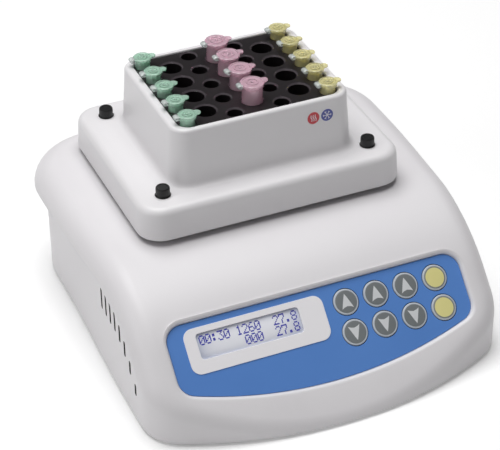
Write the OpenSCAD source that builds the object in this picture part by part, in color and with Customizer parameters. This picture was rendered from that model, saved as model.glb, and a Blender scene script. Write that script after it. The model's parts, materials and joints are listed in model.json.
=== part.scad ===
// Bench thermo-shaker for microtubes, in millimetres.
// Origin: middle of the footprint on the bench. Z is up and the keypad faces -Y.
// Every piece is drawn in its assembled place.

/* [Housing] */
// Width of the housing across its shoulders
body_w = 200; // [199:0.5:201]
// Depth of the housing from nose to rear
body_d = 214.6; // [214:0.2:216]
// Height of the flat top of the housing above the bench
body_top = 68.5; // [68:0.25:69]
// Height of the bottom edge of the housing above the bench
edge_z = 2; // [2:0.25:2.5]
// Wall thickness of the housing
wall = 2.6; // [2.4:0.1:2.8]
// Radius of the rounded shoulder
shoulder_r = 12; // [12:0.25:12.5]
// Radius of the rear corners of the shoulder
corner_r = 38; // [37:0.5:39]
// How far the lower wall stands in under the shoulder
side_in = 6; // [5.9:0.1:6.2]
// Radius of the bowed nose seen from above
nose_r = 216; // [214:1:220]
// Height of the upright nose under the slope
nose_h = 1.9; // [1.6:0.1:2.2]
// Radius of the bend between the top and the sloped front
bend_r = 80; // [79:0.5:81]
// Slope of the front from the level
slope = 45; // [45:0.5:45.5]
// Number of air slots in each side
slot_n = 8; // [6:1:8]
// Width of an air slot
slot_w = 1.8; // [1.4:0.1:2]

/* [Keypad] */
// Width of the blue overlay
pad_w = 160; // [158:1:160]
// Length of the overlay down the slope at its middle
pad_l = 47; // [46:0.5:47.5]
// Depth of the pocket the overlay sits in
pad_deep = 2.8; // [2.6:0.1:2.9]
// Thickness of the overlay
pad_t = 0.8; // [0.7:0.1:0.9]
// Diameter of a key
key_d = 13.3; // [13:0.1:13.4]
// Spacing of the keys across the panel
key_dx = 16.6; // [16.4:0.1:16.8]
// Spacing of the two key rows down the slope
key_dy = 15.8; // [15.6:0.1:16]
// Travel of a key
key_travel = 0.4; // [0.3:0.05:0.45]
// Width of the display window
win_w = 55; // [54:0.5:56]
// Height of the display window
win_h = 13.2; // [13:0.1:13.5]

/* [Tube block] */
// Spacing of the socket columns
col_p = 12.81; // [12.75:0.01:12.9]
// Spacing of the sockets along a column
row_p = 15.5; // [15.4:0.05:15.6]
// Bore of a large socket
big_d = 11; // [10.95:0.05:11.1]
// Bore of a small socket
small_d = 8; // [7.95:0.05:8.1]
// Height of the top of the block above the bench
block_top = 119; // [118.8:0.1:119.2]
// Half width of the block
block_hx = 43.4; // [43.3:0.05:43.5]
// Half depth of the block
block_hy = 35.8; // [35.7:0.05:35.9]
// Height of the wide foot of the cover
foot_h = 17.5; // [17.3:0.1:17.6]
// Half width of the foot of the cover
foot_hx = 72; // [71.5:0.25:72.5]
// Half depth of the foot of the cover
foot_hy = 56.1; // [55.8:0.1:56.4]
// Half width of the hood where it meets the foot
hood_hx = 50; // [49.8:0.1:50.2]
// Half depth of the hood where it meets the foot
hood_hy = 41; // [40.8:0.1:41.2]

/* [Shaking drive] */
// Diameter of the orbit the platform follows
orbit = 2; // [1.5:0.25:2]
// Distance from the spindle to the motor
belt_c = 57; // [56:0.5:58]
// Pitch radius of the large pulley
big_pulley_r = 20; // [19.5:0.5:20]
// Pitch radius of the motor pulley
small_pulley_r = 6; // [6:0.25:6.5]
// Thickness of the flat belt
belt_t = 1.4; // [1.2:0.1:1.6]
// Width of the flat belt
belt_w = 4; // [3.5:0.25:4.25]
// Diameter of the spindle
spindle_d = 8; // [7.98:0.01:8]
// Radial clearance of a running fit
run_fit = 0.03; // [0.02:0.01:0.05]
// Radial clearance of a seated fit
seat_fit = 0.01; // [0.01:0.01:0.02]
// Diameter of a flexible post
post_d = 7; // [6:0.5:7]

/* [Hidden] */
$fn = 96;
front_y = -body_d / 2;
rear_y = body_d / 2;
by = 36.2;
hw = body_w / 2;
// The bend touches the flat top and the slope, which meets the top of the nose.
meet_y = front_y + (body_top - edge_z - nose_h) / tan(slope);
bend_y = meet_y + bend_r * tan(slope / 2);
bend_z = body_top - bend_r;
end_y = bend_y - bend_r * sin(slope);
end_z = bend_z + bend_r * cos(slope);
slope_len = (end_z - edge_z) / sin(slope) + 8;
// Frame of the panel: top edge of the overlay on the slope of the housing.
pan_y = front_y + 47.1;
pan_z = edge_z + nose_h + 47.1 * tan(slope);
lw = hw - side_in;
low_corner = corner_r - 4;
low_rear = rear_y - 3;
step_n = 6;
floor_deep = pad_deep + 2.5;
board_deep = pad_deep + 6.5;
win_x = -37.6;
win_v = -13.1;
key_x0 = 15.1;
key_v0 = -10.8;
foot_z = block_top - 31.3 - foot_h;
foot_top = foot_z + foot_h;
rim_z = block_top + 0.9;
knob_d = 7.3;
screw_d = 4;
pan_t = 2.5;
pan_top = edge_z + pan_t;
block_z = 72.2;
heat_t = 3;
peltier_t = 3.8;
plate_top = block_z - heat_t - peltier_t;
plate_t = 4.4;
plate_z = plate_top - plate_t;
well_hx = 64.5;
well_hy = 49.5;
knob_x = well_hx - 7.9;
knob_y = well_hy - 8.2;
post_x = well_hx - 14.5;
post_y = well_hy - 15.5;
belt_z = 44;
pulley_t = 6;
col_h = 40;
motor_y = by - belt_c;
motor_d = 36;
main_y = front_y + 20.3;
main_end = motor_y - 22.7;
bear_d = 22;
bear_t = 7;
pillar_at = [[hw - 22, rear_y - 23.3], [22 - hw, rear_y - 23.3],
    [hw - 20, front_y + 57.3], [20 - hw, front_y + 57.3]];
feet_at = [[hw - 30, rear_y - 29.3], [30 - hw, rear_y - 29.3],
    [hw - 34, front_y + 41.3], [34 - hw, front_y + 41.3]];
switch_x = 62;
inlet_x = 30;
rear_z = 28;
fan_s = 35;
fan_t = 10;
fan_y = -27;
fan_z = 29;
fan_x = -lw + wall + 0.3;
small_deep = 24;
big_deep = 29.4;
tube_gap = 0.1;

function arc(x, y, r, a, b, n) =
    [for (k = [0 : n]) [x + r * cos(a + (b - a) * k / n), y + r * sin(a + (b - a) * k / n)]];

// Outline seen from above, half width w, inset i.
module plan(w, c, rear, i) {
    fr = 22;
    yc = front_y + nose_r;
    cx = w - fr;
    cy = yc - sqrt((nose_r - fr) * (nose_r - fr) - cx * cx);
    b = atan2(cx, yc - cy);
    step = b / 16;
    polygon(concat(
        arc(w - c, rear - c, c - i, 0, 90, 12),
        arc(c - w, rear - c, c - i, 90, 180, 12),
        arc(-cx, cy, fr - i, 180, 270 - b, 8),
        arc(0, yc, nose_r - i, 270 - b + step, 270 + b - step, 30),
        arc(cx, cy, fr - i, 270 + b, 360, 8)));
}

// Section of the top skin with its round shoulders, inset i.
module skin_2d(i) {
    for (s = [-1, 1]) {
        intersection() {
            translate([s * (hw - shoulder_r), -shoulder_r]) circle(r = shoulder_r - i);
            translate([s * hw - hw / 2, -shoulder_r + i]) square([hw, shoulder_r]);
        }
    }
    translate([-(hw - shoulder_r), -shoulder_r + i]) square([2 * (hw - shoulder_r), shoulder_r - 2 * i]);
}

// The same edge for the rear corner, turned round an upright axis.
module corner_2d(i) {
    intersection() {
        translate([corner_r - shoulder_r, -shoulder_r]) circle(r = shoulder_r - i);
        translate([0, -shoulder_r + i]) square([corner_r, shoulder_r]);
    }
    translate([0, -shoulder_r + i]) square([corner_r - shoulder_r, shoulder_r - 2 * i]);
}

module skin(i) {
    translate([0, rear_y - corner_r, body_top]) {
        rotate([90, 0, 0]) linear_extrude(rear_y - corner_r - bend_y) skin_2d(i);
        for (s = [-1, 1]) {
            translate([s * (hw - corner_r), 0, 0]) rotate(45 - s * 45) {
                rotate_extrude(angle = 90) corner_2d(i);
            }
        }
        rotate([90, 0, 90]) linear_extrude(body_w - 2 * corner_r, center = true) corner_2d(i);
    }
    intersection() {
        translate([0, bend_y, bend_z]) rotate([0, -90, 180]) {
            rotate_extrude(angle = slope, $fn = 160) {
                translate([bend_r, 0]) rotate(-90) skin_2d(i);
            }
        }
        linear_extrude(body_top) plan(hw + 0.6, corner_r, rear_y, i);
    }
    intersection() {
        translate([0, end_y, end_z]) rotate([90 + slope, 0, 0]) {
            linear_extrude(slope_len) skin_2d(i);
        }
        translate([0, 0, edge_z]) linear_extrude(body_top) plan(hw + 0.6, corner_r, rear_y, i);
    }
}

// Straight lower part of the housing under the skin.
module lower(i) {
    d = step_n;
    intersection() {
        translate([0, 0, edge_z]) linear_extrude(body_top) plan(lw, low_corner, low_rear, i);
        rotate([90, 0, 90]) linear_extrude(body_w, center = true) {
            polygon([[front_y, edge_z - 1], [rear_y, edge_z - 1], [rear_y, body_top - d],
                [bend_y, body_top - d],
                for (a = [slope / 4 : slope / 4 : slope])
                    [bend_y - (bend_r - d) * sin(a), bend_z + (bend_r - d) * cos(a)],
                [end_y + d * sin(slope) - slope_len * cos(slope),
                    end_z - d * cos(slope) - slope_len * sin(slope)]]);
        }
    }
}

// The platform stands half the orbit behind the spindle at rest.
module on_carrier() {
    translate([0, by + orbit / 2, 0]) children();
}

module on_panel() {
    translate([0, pan_y, pan_z]) rotate([slope, 0, 0]) children();
}

// Outline of the overlay: straight top, bowed bottom, round corners, inset i.
module pad_2d(i) {
    r = 240;
    c = 9;
    cx = pad_w / 2 - c;
    cy = -pad_l + r - sqrt((r - c) * (r - c) - cx * cx);
    b = atan2(cx, r - pad_l - cy);
    step = b / 16;
    polygon(concat(
        arc(cx, -c, c - i, 0, 90, 10),
        arc(-cx, -c, c - i, 90, 180, 10),
        arc(-cx, cy, c - i, 180, 270 - b, 8),
        arc(0, r - pad_l, r - i, 270 - b + step, 270 + b - step, 30),
        arc(cx, cy, c - i, 270 + b, 360, 8)));
}

module keys_at() {
    for (c = [0 : 3]) {
        for (r = [0, 1]) {
            translate([key_x0 + c * key_dx, key_v0 - r * key_dy, 0]) children();
        }
    }
}

module rounded_2d(hx, hy, r) {
    for (sx = [-1, 1]) {
        for (sy = [-1, 1]) {
            translate([sx * (hx - r), sy * (hy - r)]) circle(r = r);
        }
    }
    square([2 * hx, 2 * (hy - r)], center = true);
    square([2 * (hx - r), 2 * hy], center = true);
}

// Slab with an outward round of radius r on its top edge.
module round_slab(hx, hy, c, h, r) {
    linear_extrude(h - r) rounded_2d(hx, hy, c);
    translate([0, 0, h - r]) {
        for (sx = [-1, 1]) {
            for (sy = [-1, 1]) {
                translate([sx * (hx - c), sy * (hy - c), 0]) rotate_extrude() {
                    edge_2d(c, r);
                }
            }
        }
        rotate([90, 0, 90]) linear_extrude(2 * (hx - c), center = true) {
            edge_2d(hy, r);
            mirror([1, 0]) edge_2d(hy, r);
        }
        rotate([90, 0, 0]) linear_extrude(2 * (hy - c), center = true) {
            edge_2d(hx, r);
            mirror([1, 0]) edge_2d(hx, r);
        }
    }
}

module edge_2d(w, r) {
    square([w - r, r]);
    intersection() {
        translate([w - r, 0]) circle(r = r);
        square([w, r]);
    }
}

module upper_housing() {
    color("#ece9ea") {
        difference() {
            union() {
                skin(0);
                lower(0);
            }
            difference() {
                union() {
                    skin(wall);
                    lower(wall);
                    translate([0, 0, edge_z - 1]) linear_extrude(1.5 + pan_t) {
                        plan(lw, low_corner, low_rear, wall);
                    }
                }
                on_panel() {
                    translate([0, 0, -floor_deep]) linear_extrude(floor_deep) pad_2d(-3);
                    for (x = [-76, 4, 74]) {
                        for (v = [-3, -36]) {
                            translate([x, v, -board_deep]) cylinder(d = 5, h = 6);
                        }
                    }
                }
                for (p = pillar_at) {
                    translate([p[0], p[1], pan_top]) cylinder(d = 9, h = body_top);
                }
                translate([0, by, body_top - 8.5]) linear_extrude(9) {
                    rounded_2d(well_hx + 2.2, well_hy + 2.2, 10.2);
                }
            }
            translate([0, by, body_top - 20]) linear_extrude(30) rounded_2d(well_hx, well_hy, 8);
            on_panel() {
                translate([0, 0, -pad_deep]) linear_extrude(10) pad_2d(0);
                translate([win_x, win_v, 0]) cube([62, 19, 24], center = true);
                keys_at() translate([0, 0, -9]) cylinder(d = key_d + 0.8, h = 12);
            }
            for (p = pillar_at) {
                translate([p[0], p[1], 0]) cylinder(d = 3 + 2 * seat_fit, h = 20);
            }
            for (k = [0 : slot_n - 1]) {
                top = k < 3 ? 50.3 : 50.3 - pow(k - 2, 2) * 1.05;
                len = k < 3 ? 12.6 : 12.6 - (k - 2) * 1.1;
                for (s = [-1, 1]) {
                    translate([s * lw, -16.4 - k * 6.65, top - len]) side_slot(len);
                }
            }
            translate([inlet_x, low_rear, rear_z]) rotate([90, 0, 0]) {
                cylinder(d = 11 + 2 * seat_fit, h = 20, center = true);
            }
            translate([switch_x, low_rear, rear_z]) cube([19.4, 20, 13.4], center = true);
            for (k = [-5 : 5]) {
                translate([-45 + k * 5, low_rear, 20]) cube([2, 12, 22], center = true);
            }
        }
    }
}

module side_slot(len) {
    rotate([0, 90, 0]) {
        translate([-slot_w / 2, 0, 0]) cylinder(d = slot_w, h = 20, center = true, $fn = 24);
        translate([slot_w / 2 - len, 0, 0]) cylinder(d = slot_w, h = 20, center = true, $fn = 24);
        translate([-len / 2, 0, 0]) cube([len - slot_w, slot_w, 20], center = true);
    }
}

module base_pan() {
    color("#2b2d30") {
        difference() {
            union() {
                translate([0, 0, edge_z]) linear_extrude(pan_t) {
                    plan(lw, low_corner, low_rear, wall + 0.3);
                }
                for (x = [-55, 55]) {
                    for (y = [main_y + 5, main_end - 3.5]) {
                        translate([x, y, edge_z]) cylinder(d = 6, h = 8 - edge_z);
                    }
                }
                for (x = [-post_x, post_x]) {
                    for (y = [-post_y, post_y]) {
                        translate([x, by + y, edge_z]) cylinder(d = 14, h = 6);
                    }
                }
                for (y = [-12, 12]) {
                    translate([fan_x + 1, fan_y + y - 2, edge_z]) {
                        cube([8, 4, fan_z - fan_s / 2 - edge_z]);
                    }
                }
            }
            for (p = pillar_at) {
                translate([p[0], p[1], 0]) cylinder(d = 3 + 2 * seat_fit, h = 20);
                translate([p[0], p[1], 0]) cylinder(d = 6, h = edge_z + 1.2);
            }
            for (p = feet_at) {
                translate([p[0], p[1], 0]) cylinder(d = 5 + 2 * seat_fit, h = 20);
            }
            for (x = [-post_x, post_x]) {
                for (y = [-post_y, post_y]) {
                    translate([x, by + y, edge_z + 2.5]) cylinder(d = post_d + 2 * seat_fit, h = 9);
                }
            }
            for (k = [-4 : 4]) {
                translate([k * 7, rear_y - 17.3, 0]) cube([3, 14, 20], center = true);
            }
        }
    }
}

module rubber_feet() {
    color("#202020") {
        for (p = feet_at) {
            translate([p[0], p[1], 0]) {
                cylinder(d1 = 13, d2 = 15, h = edge_z);
                cylinder(d = 5, h = pan_top + 1.2);
                translate([0, 0, pan_top]) cylinder(d1 = 6.6, d2 = 5, h = 1.6);
            }
        }
    }
}

module housing_screws() {
    color("#8f9296") {
        for (p = pillar_at) {
            translate([p[0], p[1], edge_z + 0.1]) {
                difference() {
                    union() {
                        cylinder(d = 5.6, h = 1.1);
                        cylinder(d = 3, h = 14);
                    }
                    translate([0, 0, -0.1]) cube([3.4, 0.8, 1.4], center = true);
                    translate([0, 0, -0.1]) cube([0.8, 3.4, 1.4], center = true);
                }
            }
        }
    }
}

module keypad_overlay() {
    color("#4f7cbf") {
        on_panel() {
            difference() {
                translate([0, 0, -pad_deep]) linear_extrude(pad_t) pad_2d(0.3);
                translate([win_x, win_v, 0]) cube([win_w, win_h, 9], center = true);
                keys_at() translate([0, 0, -9]) cylinder(d = key_d + 0.8, h = 12);
            }
        }
    }
}

module display_inlay() {
    color("#f2f2f0") {
        on_panel() {
            difference() {
                translate([-34.1, -14.9, pad_t - pad_deep]) linear_extrude(0.4) {
                    rounded_2d(37.1, 11.4, 5);
                }
                translate([win_x, win_v, 0]) cube([win_w, win_h, 9], center = true);
            }
        }
    }
}

module display_window() {
    color("#c8cdd8") {
        on_panel() {
            translate([win_x, win_v, 0.5 - pad_deep]) {
                cube([win_w - 0.1, win_h - 0.1, 1], center = true);
            }
        }
    }
}

module lcd_module() {
    color("#3a3f45") {
        on_panel() {
            translate([win_x, win_v, -board_deep]) {
                translate([-30.5, -9, 2]) cube([61, 18, board_deep - pad_deep - 2]);
                translate([-34, -14, 0.4]) cube([68, 28, 1.6]);
                translate([-20, 11, 0]) cube([40, 2.5, 0.4]);
                translate([-20, -13.5, 0]) cube([40, 2.5, 0.4]);
            }
        }
    }
}

module control_board() {
    color("#2f6b45") {
        on_panel() translate([0, 0, -board_deep]) {
            translate([-79, -39, -1.6]) cube([157, 38.5, 1.6]);
            keys_at() {
                translate([-3, -3, 0]) cube([6, 6, 1.4]);
                translate([0, 0, 1.4]) cylinder(d = 3, h = 0.4);
            }
            translate([-10, -38, -4.5]) cube([24, 6, 2.9]);
            translate([30, -18, -3.8]) cube([14, 14, 2.2]);
        }
    }
}

module main_board() {
    color("#2d5f3e") {
        translate([-60, main_y, 8]) cube([120, main_end - main_y, 1.6]);
        translate([-14, main_y + 1, 9.6]) cube([24, 6, 4]);
        translate([-50, main_end - 16.5, 9.6]) cube([26, 12, 14]);
        for (x = [-12, 2, 16]) {
            translate([x, main_end - 8.5, 9.6]) cylinder(d = 10, h = 16);
        }
    }
}

module ribbon_cable() {
    color("#9aa0a6") {
        translate([-8, main_y + 3.6, 13.6]) cube([20, 0.8, 1.8]);
        translate([-8, main_y + 3.6, 14.6]) cube([20, 4.9, 0.8]);
    }
}

module power_inlet() {
    color("#1f2022") {
        translate([inlet_x, low_rear, rear_z]) rotate([90, 0, 0]) {
            difference() {
                union() {
                    cylinder(d = 11, h = 16);
                    translate([0, 0, -1.2]) cylinder(d = 14, h = 1.2);
                    translate([0, 0, wall]) cylinder(d = 14, h = 2, $fn = 6);
                }
                translate([0, 0, -2]) cylinder(d = 6.4, h = 12);
            }
            translate([0, 0, 0]) cylinder(d = 2, h = 12);
        }
    }
}

module power_switch_case() {
    color("#1b1c1e") {
        translate([switch_x, low_rear, rear_z]) {
            difference() {
                union() {
                    translate([-10.5, 0, -7.5]) cube([21, 1.4, 15]);
                    translate([-9.6, -15, -6.6]) cube([19.2, 15, 13.2]);
                }
                translate([-8, -5, 0]) rotate([0, 90, 0]) cylinder(d = 11, h = 16);
                translate([-8, -5, -5.5]) cube([16, 10, 11]);
            }
            for (s = [-1, 1]) {
                translate([s * 8 - (s > 0 ? 0.7 : 0), -2, 0]) rotate([0, 90, 0]) {
                    cylinder(d = 2, h = 0.7);
                }
            }
            for (x = [-5, 5]) {
                translate([x - 2.4, -22, -0.4]) cube([4.8, 7, 0.8]);
            }
        }
    }
}

module switch_rocker() {
    color("#141516") {
        translate([switch_x, low_rear - 2, rear_z]) rotate([6, 0, 0]) {
            difference() {
                translate([-7.6, -4, -5]) cube([15.2, 8.4, 10]);
                translate([-9, 13.4, 0]) rotate([0, 90, 0]) cylinder(r = 10.4, h = 18);
                for (s = [-1, 1]) {
                    translate([0, -5.6, s * 6.6]) rotate([s * 38, 0, 0]) cube([17, 9, 7], center = true);
                }
                translate([-9, 0, 0]) rotate([0, 90, 0]) cylinder(d = 2 + 2 * run_fit, h = 18);
            }
        }
    }
}

module fan_frame() {
    color("#26282b") {
        translate([fan_x, fan_y, fan_z]) rotate([0, 90, 0]) {
            difference() {
                translate([-fan_s / 2, -fan_s / 2, 0]) cube([fan_s, fan_s, fan_t]);
                translate([0, 0, -1]) cylinder(d = 33, h = fan_t + 2);
                for (x = [-14.5, 14.5]) {
                    for (y = [-14.5, 14.5]) {
                        translate([x, y, -1]) cylinder(d = 3, h = fan_t + 2);
                    }
                }
            }
            translate([0, 0, fan_t - 1.8]) {
                cylinder(d = 15, h = 1.8);
                for (a = [0 : 120 : 240]) {
                    rotate(a) translate([5, -1.2, 0.1]) cube([12.1, 2.4, 1.5]);
                }
            }
            translate([0, 0, 2]) cylinder(d = 2.5, h = fan_t - 2.2);
        }
    }
}

module fan_rotor() {
    color("#3a3c40") {
        translate([fan_x, fan_y, fan_z]) rotate([0, 90, 0]) {
            difference() {
                union() {
                    translate([0, 0, 1]) cylinder(d = 14.4, h = 6.6);
                    for (a = [0 : 51.43 : 308.6]) {
                        rotate(a) translate([6.5, 0, 4.3]) rotate([38, 0, 0]) {
                            translate([0, -3.6, -0.5]) cube([9.2, 7.2, 1]);
                        }
                    }
                }
                translate([0, 0, -5]) cylinder(d = 2.5 + 2 * run_fit, h = 20);
                translate([0, 0, 2.6]) cylinder(d = 12, h = 10);
            }
            difference() {
                translate([0, 0, 1]) cylinder(d = 5, h = 6.6);
                translate([0, 0, 0]) cylinder(d = 2.5 + 2 * run_fit, h = 9);
            }
        }
    }
}

module motor_bracket() {
    color("#9a9da1") {
        difference() {
            union() {
                translate([-26, motor_y - 22, 37]) cube([52, 42, 2]);
                for (s = [-1, 1]) {
                    translate([s * 25 - 1, motor_y - 22, pan_top]) cube([2, 42, 34.5]);
                    translate([s * 30 - 6, motor_y - 22, pan_top]) cube([12, 42, 2]);
                }
            }
            translate([0, motor_y, 0]) cylinder(d = 12, h = 60);
            for (s = [-1, 1]) {
                for (y = [-16, 14]) {
                    translate([s * 31, motor_y + y, 0]) cylinder(d = 3.4, h = 20);
                }
            }
        }
    }
}

module motor_can() {
    color("#6f7377") {
        difference() {
            translate([0, motor_y, 0]) {
                translate([0, 0, 8]) cylinder(d = motor_d, h = 29);
                translate([0, 0, 6.2]) cylinder(d = 12, h = 1.8);
                translate([0, 0, 37]) cylinder(d = 11.9, h = 3);
            }
            translate([0, motor_y, 12]) cylinder(d = 4 + 2 * run_fit, h = 60);
        }
    }
}

module motor_shaft() {
    color("#c9ccd0") {
        translate([0, motor_y, 14]) cylinder(d = 4, h = 34);
    }
}

module pulley(r, bore) {
    gap = 0.08;
    difference() {
        cylinder(r = r + 1.6, h = pulley_t);
        translate([0, 0, (pulley_t - belt_w) / 2 - gap]) difference() {
            cylinder(r = r + 5, h = belt_w + 2 * gap);
            translate([0, 0, -1]) cylinder(r = r - belt_t / 2 - gap, h = belt_w + 3);
        }
        translate([0, 0, -1]) cylinder(d = bore, h = pulley_t + 2);
    }
}

module motor_pulley() {
    color("#b9bcc0") {
        translate([0, motor_y, belt_z - pulley_t / 2]) pulley(small_pulley_r, 4);
    }
}

module belt_2d(d) {
    lean = asin((big_pulley_r - small_pulley_r) / belt_c);
    polygon(concat(
        arc(0, 0, big_pulley_r + d, -lean, 180 + lean, 60),
        arc(0, -belt_c, small_pulley_r + d, 180 + lean, 360 - lean, 40)));
}

module drive_belt() {
    color("#30312f") {
        translate([0, by, belt_z - belt_w / 2]) linear_extrude(belt_w) difference() {
            belt_2d(belt_t / 2);
            belt_2d(-belt_t / 2);
        }
    }
}

module bearing_housing() {
    color("#a8abae") {
        translate([0, by, 0]) {
            difference() {
                union() {
                    translate([0, 0, pan_top]) cylinder(d = 52, h = 4);
                    translate([0, 0, pan_top]) cylinder(d = 32, h = col_h - pan_top);
                    for (a = [45 : 90 : 315]) {
                        rotate(a) translate([14, -1.5, pan_top]) cube([10, 3, 14]);
                    }
                }
                cylinder(d = 18, h = 60);
                translate([0, 0, 0]) cylinder(d = bear_d + 2 * seat_fit, h = 17);
                translate([0, 0, col_h - bear_t]) cylinder(d = bear_d + 2 * seat_fit, h = 20);
                for (a = [0 : 90 : 270]) {
                    rotate(a) translate([21, 0, 0]) cylinder(d = 4.4, h = 20);
                }
            }
        }
    }
}

module ball_bearing() {
    difference() {
        cylinder(d = bear_d, h = bear_t);
        translate([0, 0, -1]) cylinder(d = spindle_d + 2 * run_fit, h = bear_t + 2);
        for (z = [-0.5, bear_t - 0.5]) {
            translate([0, 0, z]) difference() {
                cylinder(d = 18, h = 1);
                translate([0, 0, -1]) cylinder(d = 12.4, h = 3);
            }
        }
    }
}

module spindle_bearings() {
    color("#d2d4d6") {
        translate([0, by, 10]) ball_bearing();
        translate([0, by, col_h - bear_t]) ball_bearing();
    }
}

module spindle() {
    color("#c4c7ca") {
        translate([0, by, 0]) {
            translate([0, 0, 9]) cylinder(d = spindle_d, h = 44);
            translate([0, 0, 40.2]) cylinder(d = 11, h = 0.8);
            translate([0, 0, 52.5]) cylinder(d = 14, h = 3.4);
            translate([0, orbit / 2, 55]) cylinder(d = spindle_d, h = 8.6);
        }
    }
}

module spindle_pulley() {
    color("#b9bcc0") {
        translate([0, by, belt_z - pulley_t / 2]) pulley(big_pulley_r, spindle_d);
    }
}

module counterweight() {
    color("#b08d57") {
        translate([0, by, 47.3]) {
            difference() {
                union() {
                    intersection() {
                        cylinder(r = 26, h = 5);
                        translate([-40, -40, 0]) cube([80, 38, 5]);
                    }
                    cylinder(d = 16, h = 5);
                }
                translate([0, 0, -1]) cylinder(d = spindle_d, h = 9);
            }
        }
    }
}

module flex_posts() {
    color("#4a4c50") {
        for (x = [-post_x, post_x]) {
            for (y = [-post_y, post_y]) {
                translate([x, by + y, edge_z + 2.5]) cylinder(d = post_d, h = plate_z - edge_z - 2.5);
            }
        }
    }
}

module carrier_plate() {
    color("#b4b7ba") {
        on_carrier() {
            difference() {
                union() {
                    translate([0, 0, plate_z]) linear_extrude(plate_t) rounded_2d(well_hx - 3, well_hy - 3, 6);
                    translate([0, 0, 56.5]) cylinder(d = 32, h = plate_top - 56.5);
                    for (s = [-1, 1]) {
                        for (k = [0 : 7]) {
                            translate([s * (24 + k * (well_hx - 32.3) / 7) - 0.75, -26, 54]) cube([1.5, 52, 8]);
                        }
                    }
                    for (x = [-knob_x, knob_x]) {
                        for (y = [-knob_y, knob_y]) {
                            translate([x, y, plate_z]) cylinder(d = 9, h = foot_z - plate_z - 0.3);
                        }
                    }
                }
                translate([0, 0, 50]) cylinder(d = bear_d + 2 * seat_fit, h = 14);
                for (x = [-knob_x, knob_x]) {
                    for (y = [-knob_y, knob_y]) {
                        translate([x, y, 50]) cylinder(d = screw_d + 2 * run_fit, h = 40);
                    }
                }
            }
        }
    }
}

module eccentric_bearing() {
    color("#d2d4d6") {
        on_carrier() translate([0, 0, 57]) ball_bearing();
    }
}

module peltier_modules() {
    color("#e8e6df") {
        for (s = [-1, 1]) {
            on_carrier() translate([s * 21, 0, plate_top]) {
                translate([-20, -20, 0]) cube([40, 40, 0.8]);
                translate([-19, -19, 0.8]) cube([38, 38, peltier_t - 1.6]);
                translate([-20, -20, peltier_t - 0.8]) cube([40, 40, 0.8]);
            }
        }
    }
}

module heat_plate() {
    color("#c0c3c6") {
        on_carrier() translate([0, 0, block_z - heat_t]) linear_extrude(heat_t) rounded_2d(43, 35.4, 5);
    }
}

module small_sockets() {
    for (c = [-3, -1, 1, 3]) {
        for (r = [-2 : 2]) {
            on_carrier() translate([c * col_p, r * row_p, block_top]) children();
        }
    }
}

module large_sockets() {
    for (c = [-2, 0, 2]) {
        for (r = [-1.5 : 1.5]) {
            on_carrier() translate([c * col_p, r * row_p, block_top]) children();
        }
    }
}

module socket(d, rim, straight, deep, end) {
    translate([0, 0, -straight]) cylinder(d = d, h = straight + 1);
    translate([0, 0, -deep]) cylinder(d1 = end, d2 = d, h = deep - straight);
    translate([0, 0, -(rim - d) / 2]) cylinder(d1 = d, d2 = rim + 0.2, h = (rim - d) / 2 + 0.1);
}

module tube_block() {
    color("#2b2529") {
        difference() {
            on_carrier() translate([0, 0, block_z]) linear_extrude(block_top - block_z) {
                rounded_2d(block_hx, block_hy, 6);
            }
            small_sockets() socket(small_d, 9.5, 13, small_deep, 4.6);
            large_sockets() socket(big_d, 12.5, 12, big_deep, 4.8);
        }
    }
}

module block_cover() {
    color("#efecee") {
        on_carrier() translate([0, 0, foot_z]) {
            difference() {
                union() {
                    round_slab(foot_hx, foot_hy, 13, foot_h, 4);
                    translate([0, 0, foot_h - 2]) {
                        round_slab(hood_hx - 1.6, hood_hy - 1.8, 9, rim_z - foot_top + 2, 1.6);
                    }
                    translate([0, 0, foot_h]) linear_extrude(1.4) {
                        rounded_2d(hood_hx, hood_hy, 10);
                    }
                }
                translate([0, 0, -1]) {
                    linear_extrude(rim_z) rounded_2d(block_hx + 0.3, block_hy + 0.3, 6.3);
                }
                difference() {
                    translate([0, 0, -1]) linear_extrude(foot_h - 1.6) {
                        rounded_2d(foot_hx - 2.6, foot_hy - 2.6, 10.4);
                    }
                    for (x = [-knob_x, knob_x]) {
                        for (y = [-knob_y, knob_y]) {
                            translate([x, y, 0]) cylinder(d = 9, h = foot_h);
                        }
                    }
                    for (s = [-1, 1]) {
                        translate([s * (block_hx + 2) - 1.7, -8, 6]) cube([3.4, 16, 12]);
                    }
                    translate([0, 0, 0]) linear_extrude(foot_h) difference() {
                        rounded_2d(block_hx + 2.6, block_hy + 2.6, 8);
                        rounded_2d(block_hx + 0.3, block_hy + 0.3, 6.3);
                    }
                }
                for (x = [-knob_x, knob_x]) {
                    for (y = [-knob_y, knob_y]) {
                        translate([x, y, -1]) cylinder(d = screw_d + 2 * run_fit, h = 40);
                    }
                }
            }
        }
        for (s = [-1, 1]) {
            on_carrier() translate([s * (block_hx + 0.3) - 0.3, -10, block_z + 10]) cube([0.6, 20, 30]);
        }
    }
}

module thumb_screw(sx, sy) {
    color("#18191b") {
        on_carrier() translate([sx * knob_x, sy * knob_y, 0]) {
            translate([0, 0, plate_z + 0.5]) cylinder(d = screw_d, h = foot_top - plate_z);
            translate([0, 0, foot_top + 0.1]) {
                difference() {
                    union() {
                        cylinder(d = 8.2, h = 0.9);
                        cylinder(d = knob_d, h = 4.3);
                        translate([0, 0, 4.3]) cylinder(d1 = knob_d, d2 = knob_d - 1, h = 0.5);
                    }
                    for (a = [0 : 20 : 340]) {
                        rotate(a) translate([knob_d / 2 + 0.3, 0, 1.1]) {
                            cylinder(d = 1, h = 6, $fn = 16);
                        }
                    }
                }
            }
        }
    }
}

module thumb_screw_1() {
    thumb_screw(-1, -1);
}

module thumb_screw_2() {
    thumb_screw(1, -1);
}

module thumb_screw_3() {
    thumb_screw(1, 1);
}

module thumb_screw_4() {
    thumb_screw(-1, 1);
}

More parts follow.
